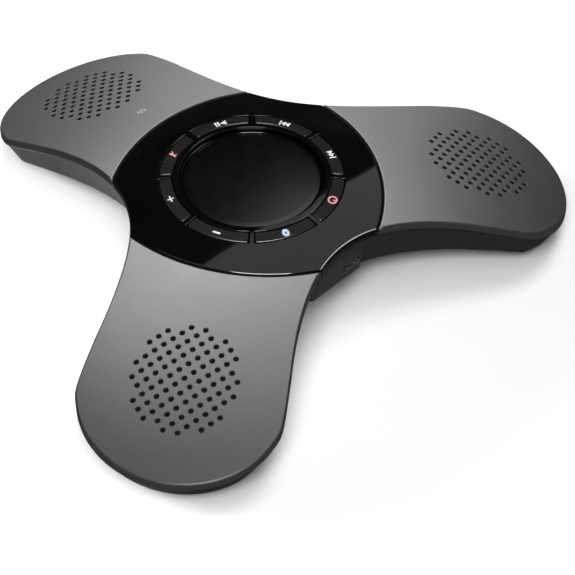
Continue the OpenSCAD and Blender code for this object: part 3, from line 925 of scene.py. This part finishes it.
def cone_film():
    f = Finish("cone_film", grey(0.035), 0.35)
    f.colour(f.between(f.noise(4), 0, 1), grey(0.03), grey(0.045, 0.1))
    f.bump(f.waves(1.2, "Z"), 0.05)
    return f


def foam():
    f = Finish("foam", grey(0.05), 0.95)
    pores = f.cells(0.6)
    f.colour(pores, grey(0.03), grey(0.07))
    f.bump(pores, 0.2)
    return f


def mesh_cloth():
    """Plain woven acoustic cloth: threads 0.45 mm apart both ways, dark between them."""
    f = Finish("mesh_cloth", grey(0.01), 0.8)
    weave = f.maths("MULTIPLY", f.waves(0.45, "X"), f.waves(0.45, "Y"))
    f.colour(weave, grey(0.001), grey(0.012))
    f.bump(weave, 0.12)
    return f


def circuit_board():
    """Green solder resist with copper tracks showing faintly under it."""
    f = Finish("circuit_board", (0.01, 0.08, 0.04), 0.35)
    tracks = f.maths("GREATER_THAN", f.maths("MULTIPLY", f.waves(1.6, "X"), f.noise(5, 0)), 0.42)
    f.colour(tracks, (0.008, 0.07, 0.035), (0.02, 0.14, 0.06))
    f.bump(tracks, 0.03)
    return f


def lead_jacket():
    f = Finish("lead_jacket", (0.25, 0.02, 0.015), 0.5)
    f.colour(f.between(f.noise(3), 0, 1), (0.2, 0.015, 0.012), (0.3, 0.03, 0.02))
    f.bump(f.noise(0.4), 0.02)
    return f


def foot_rubber():
    """Matt black rubber with a bloom of dust in its grain."""
    f = Finish("foot_rubber", grey(0.02), 0.85)
    f.colour(f.between(f.noise(1.5, 4), 0, 1), grey(0.014), grey(0.03))
    f.bump(f.noise(0.35, 3), 0.04)
    return f


def silicone():
    f = Finish("silicone", grey(0.015), 0.7)
    f.colour(f.between(f.noise(2), 0, 1), grey(0.012), grey(0.02))
    f.bump(f.noise(0.3), 0.02)
    return f


def light_chip():
    """Clear cast resin over a pale chip."""
    f = Finish("light_chip", (0.8, 0.8, 0.72), 0.15)
    f.colour(f.between(f.noise(0.8), 0, 1), (0.75, 0.75, 0.6), (0.85, 0.85, 0.8))
    return f


def battery_wrap():
    f = Finish("battery_wrap", (0.02, 0.07, 0.22), 0.3)
    f.colour(f.between(f.noise(5), 0, 1), (0.015, 0.055, 0.18), (0.03, 0.09, 0.26))
    f.bump(f.noise(3, 3), 0.15)
    return f


SLOTS = [
    cover_metallic, panel_gloss, housing_satin, key_satin, dark_plastic, plated_steel, cone_film, foam,
    mesh_cloth, circuit_board, lead_jacket, foot_rubber, silicone, light_chip, battery_wrap,
]


def legend_print(name, colour, glow, strength):
    """Printed legend with a painted glow: its emission stands in for light on the print, and it varies
    in small blots.
    """
    f = Finish(name, colour, 0.5)
    f.colour(f.between(f.noise(0.5), 0, 1), tuple(0.85 * c for c in colour), colour)
    f.shader.inputs["Emission Color"].default_value = (*glow, 1)
    # Painted glow: emission strength that wavers in small blots, standing in for light on the print
    painted_glow = f.between(f.noise(0.8), 0.8 * strength, 1.2 * strength)
    f.links.new(painted_glow, f.shader.inputs["Emission Strength"])
    return f


def mark_print():
    """Pale silver ink."""
    f = Finish("mark_print", grey(0.85), 0.5)
    f.colour(f.between(f.noise(0.3), 0, 1), grey(0.8), grey(0.9))
    return f


# --- Putting the pieces together ------------------------------------------------------------


def paint(made, finish):
    made.data.materials.clear()
    made.data.materials.append(finish.material)


def build():
    finishes = {make.__name__: make() for make in SLOTS}
    for part in frame["record"]["subparts"]:
        node = frame["nodes"][part["node"]]
        for place in node.material_slots:
            place.link = "OBJECT"
            place.material = finishes[part["material_slot"]].material
    shown = []
    for arm, azimuth in ARMS.items():
        shown.append((arm_cover(f"{arm}_arm_cover", azimuth), "cover_metallic"))
    shown += [(centre_panel(), "panel_gloss")]
    shown += [(piece, "housing_satin") for piece in lower_housing()]
    for made, slot in shown:
        paint(made, finishes[slot])
        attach(made, "base")
    disc, ring, mark = gloss_disc(), channel_ring(), arm_mark()
    paint(disc, panel_gloss("disc_gloss", 0.22))
    paint(ring, panel_gloss("ring_gloss", 0.12))
    paint(mark, mark_print())
    for made in (disc, ring, mark):
        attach(made, "base")
    # Every legend finish carries a painted glow: emission stands in for light on the print
    white = legend_print("legend_white", grey(0.85), grey(1.0), 0.9)
    red = legend_print("legend_red", (0.9, 0.5, 0.5), (1.0, 0.42, 0.42), 0.9)
    blue = legend_print("legend_blue", (0.7, 0.8, 0.95), (0.7, 0.85, 1.0), 0.9)
    lit = {"power": red, "mute": red, "pairing": blue}
    for name in KEYS:
        cap, legend = keycap(name), key_legend(name)
        paint(cap, finishes["key_satin"])
        paint(legend, lit.get(name, white))
        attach(cap, f"key_{name}")
        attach(legend, f"key_{name}")


# --- Studio ---------------------------------------------------------------------------------

# Soft boxes as (azimuth, elevation, half width, radiance): the first three are degrees seen from the
# object. Each light falls on one group of pieces only, as in a picture made of several exposures.
TABLE_LIGHTS = [(180, 14, 11, 37.5), (60, 73, 11, 8.4), (300, 73, 11, 4.2), (280, 54, 11, 14.3)]
COVER_LIGHTS = [
    (100, 10, 18, 0.46),
    (120, 10, 18, 0.12),
    (100, 25, 18, 0.22),
    (100, 40, 18, 0.16),
    (100, 55, 18, 0.59),
    (140, 55, 18, 0.84),
    (100, 70, 28, 0.6),
]
LIGHT_DISTANCE = 1.8


def direction(azimuth, elevation):
    """Unit vector; azimuth is counter-clockwise from +X, in degrees."""
    a, e = math.radians(azimuth), math.radians(elevation)
    return Vector((math.cos(a) * math.cos(e), math.sin(a) * math.cos(e), math.sin(e)))


def light_only(light, lit):
    """Flags the light off everything but the lit pieces."""
    group = bpy.data.collections.new(f"{light.name}_lit")
    for made in lit:
        group.objects.link(made)
    light.light_linking.receiver_collection = group


def area_light(name, width, height, radiance, lit):
    """An evenly bright rectangle that faces down its own -Z, in metres."""
    data = bpy.data.lights.new(name, "AREA")
    data.shape = "RECTANGLE"
    data.size = width
    data.size_y = height
    data.energy = radiance * math.pi * width * height
    made = bpy.data.objects.new(name, data)
    bpy.context.scene.collection.objects.link(made)
    light_only(made, lit)
    return made


def softbox(name, azimuth, elevation, half, radiance, lit):
    """A square light that faces the object from the side."""
    width = 2 * LIGHT_DISTANCE * math.tan(math.radians(half))
    made = area_light(name, width, width, radiance, lit)
    out = direction(azimuth, elevation)
    made.location = out * LIGHT_DISTANCE
    made.rotation_euler = out.to_track_quat("Z", "Y").to_euler()


def panel_card(lit):
    """A long lit card high overhead, with a black flag below it.

    The flag's curved edge gives a clean diagonal line in what the gloss panel reflects.
    """
    made = area_light("panel_card", 3.6, 8.0, 0.78, lit)
    made.location = (0.731, 1.688, 3.3)
    made.rotation_euler = (0, 0, math.radians(-26))
    centre, radius, width, height = (-8776, 6324), 9376, 3000, 3200
    edge = arc(radius, -50, -2, 120, centre)
    back = arc(radius - width, -2, -50, 120, centre)
    shell = Shell()
    border = shell.ring(np.concatenate([edge, back]), height)
    shell.fill(border, [], lambda p: np.full(len(p), height), 2000)
    flag = shell.to_object("card_flag")
    f = Finish("flag_black", grey(0.001), 1.0)
    f.colour(f.between(f.noise(500), 0, 1), grey(0.0), grey(0.002))
    flag.data.materials.append(f.material)
    flag.visible_camera = False


def floor():
    """A plain white table that reaches past the camera's view."""
    shell = Shell()
    shell.fill(shell.ring(circle(4000, 96), 0), [], lambda p: np.zeros(len(p)), 2000)
    made = shell.to_object("floor")
    f = Finish("floor_white", grey(0.86), 0.6)
    f.colour(f.between(f.noise(120), 0, 1), grey(0.85), grey(0.87))
    made.data.materials.append(f.material)
    made.visible_glossy = False


def surroundings():
    """A dark ceiling over a paler room. The camera itself sees a plain white backdrop."""
    world = bpy.data.worlds.new("studio")
    world.use_nodes = True
    nodes, links = world.node_tree.nodes, world.node_tree.links
    place = nodes.new("ShaderNodeTexCoord")
    split = nodes.new("ShaderNodeSeparateXYZ")
    links.new(place.outputs["Generated"], split.inputs[0])
    fade = nodes.new("ShaderNodeMapRange")
    fade.interpolation_type = "SMOOTHSTEP"
    links.new(split.outputs["Z"], fade.inputs["Value"])
    fade.inputs["From Min"].default_value = 0.0
    fade.inputs["From Max"].default_value = 0.2
    fade.inputs["To Min"].default_value = 0.05
    fade.inputs["To Max"].default_value = 0.02
    path = nodes.new("ShaderNodeLightPath")
    seen = nodes.new("ShaderNodeMath")
    seen.operation = "MAXIMUM"
    links.new(path.outputs["Is Camera Ray"], seen.inputs[0])
    links.new(fade.outputs["Result"], seen.inputs[1])
    links.new(seen.outputs[0], nodes["Background"].inputs["Strength"])
    nodes["Background"].inputs["Color"].default_value = (1, 1, 1, 1)
    bpy.context.scene.world = world


def studio():
    bpy.context.scene.view_settings.view_transform = "Standard"
    surroundings()
    objects = bpy.data.objects
    covers = [o for o in objects if o.name.endswith("_arm_cover")] + [objects["arm_mark"]]
    keys = [o for o in objects if o.name.startswith("keycap_")]
    legends = [o for o in objects if o.name.startswith("legend_")]
    panel, ring, disc = [objects["centre_panel"]], [objects["channel_ring"]], [objects["gloss_disc"]]
    raised = covers + keys + legends + panel + ring + disc
    others = [o for o in objects if o.type == "MESH" and o not in raised]
    walls = [o for o in others if o.name != "floor"]
    for k, box in enumerate(TABLE_LIGHTS):
        softbox(f"table_light_{k}", *box, others)
    for k, box in enumerate(COVER_LIGHTS):
        softbox(f"cover_light_{k}", *box, covers)
    panel_card(panel)
    softbox("disc_light", 74, 66, 18, 1.6, disc)
    softbox("key_edge_light", 285, 68, 20, 22, keys)
    softbox("panel_edge_light", 285, 62, 12, 25, panel + ring + disc)
    softbox("bay_edge_light", 18, 46, 14, 12, panel)
    softbox("cover_edge_light", 285, 35, 12, 2.5, covers)
    softbox("facet_light", 330, 58, 14, 14, walls)
    softbox("left_wall_light", 200, 10, 18, 45, walls)



def camera():
    data = bpy.data.cameras.new("camera")
    data.lens = 126.216
    data.sensor_width = 36
    made = bpy.data.objects.new("camera", data)
    made.location = (0.14204, -0.51466, 0.53954)
    made.rotation_euler = [math.radians(a) for a in (43.8683, -0.33555, 14.3576)]
    bpy.context.scene.collection.objects.link(made)
    bpy.context.scene.camera = made


camera()
build()
floor()
studio()
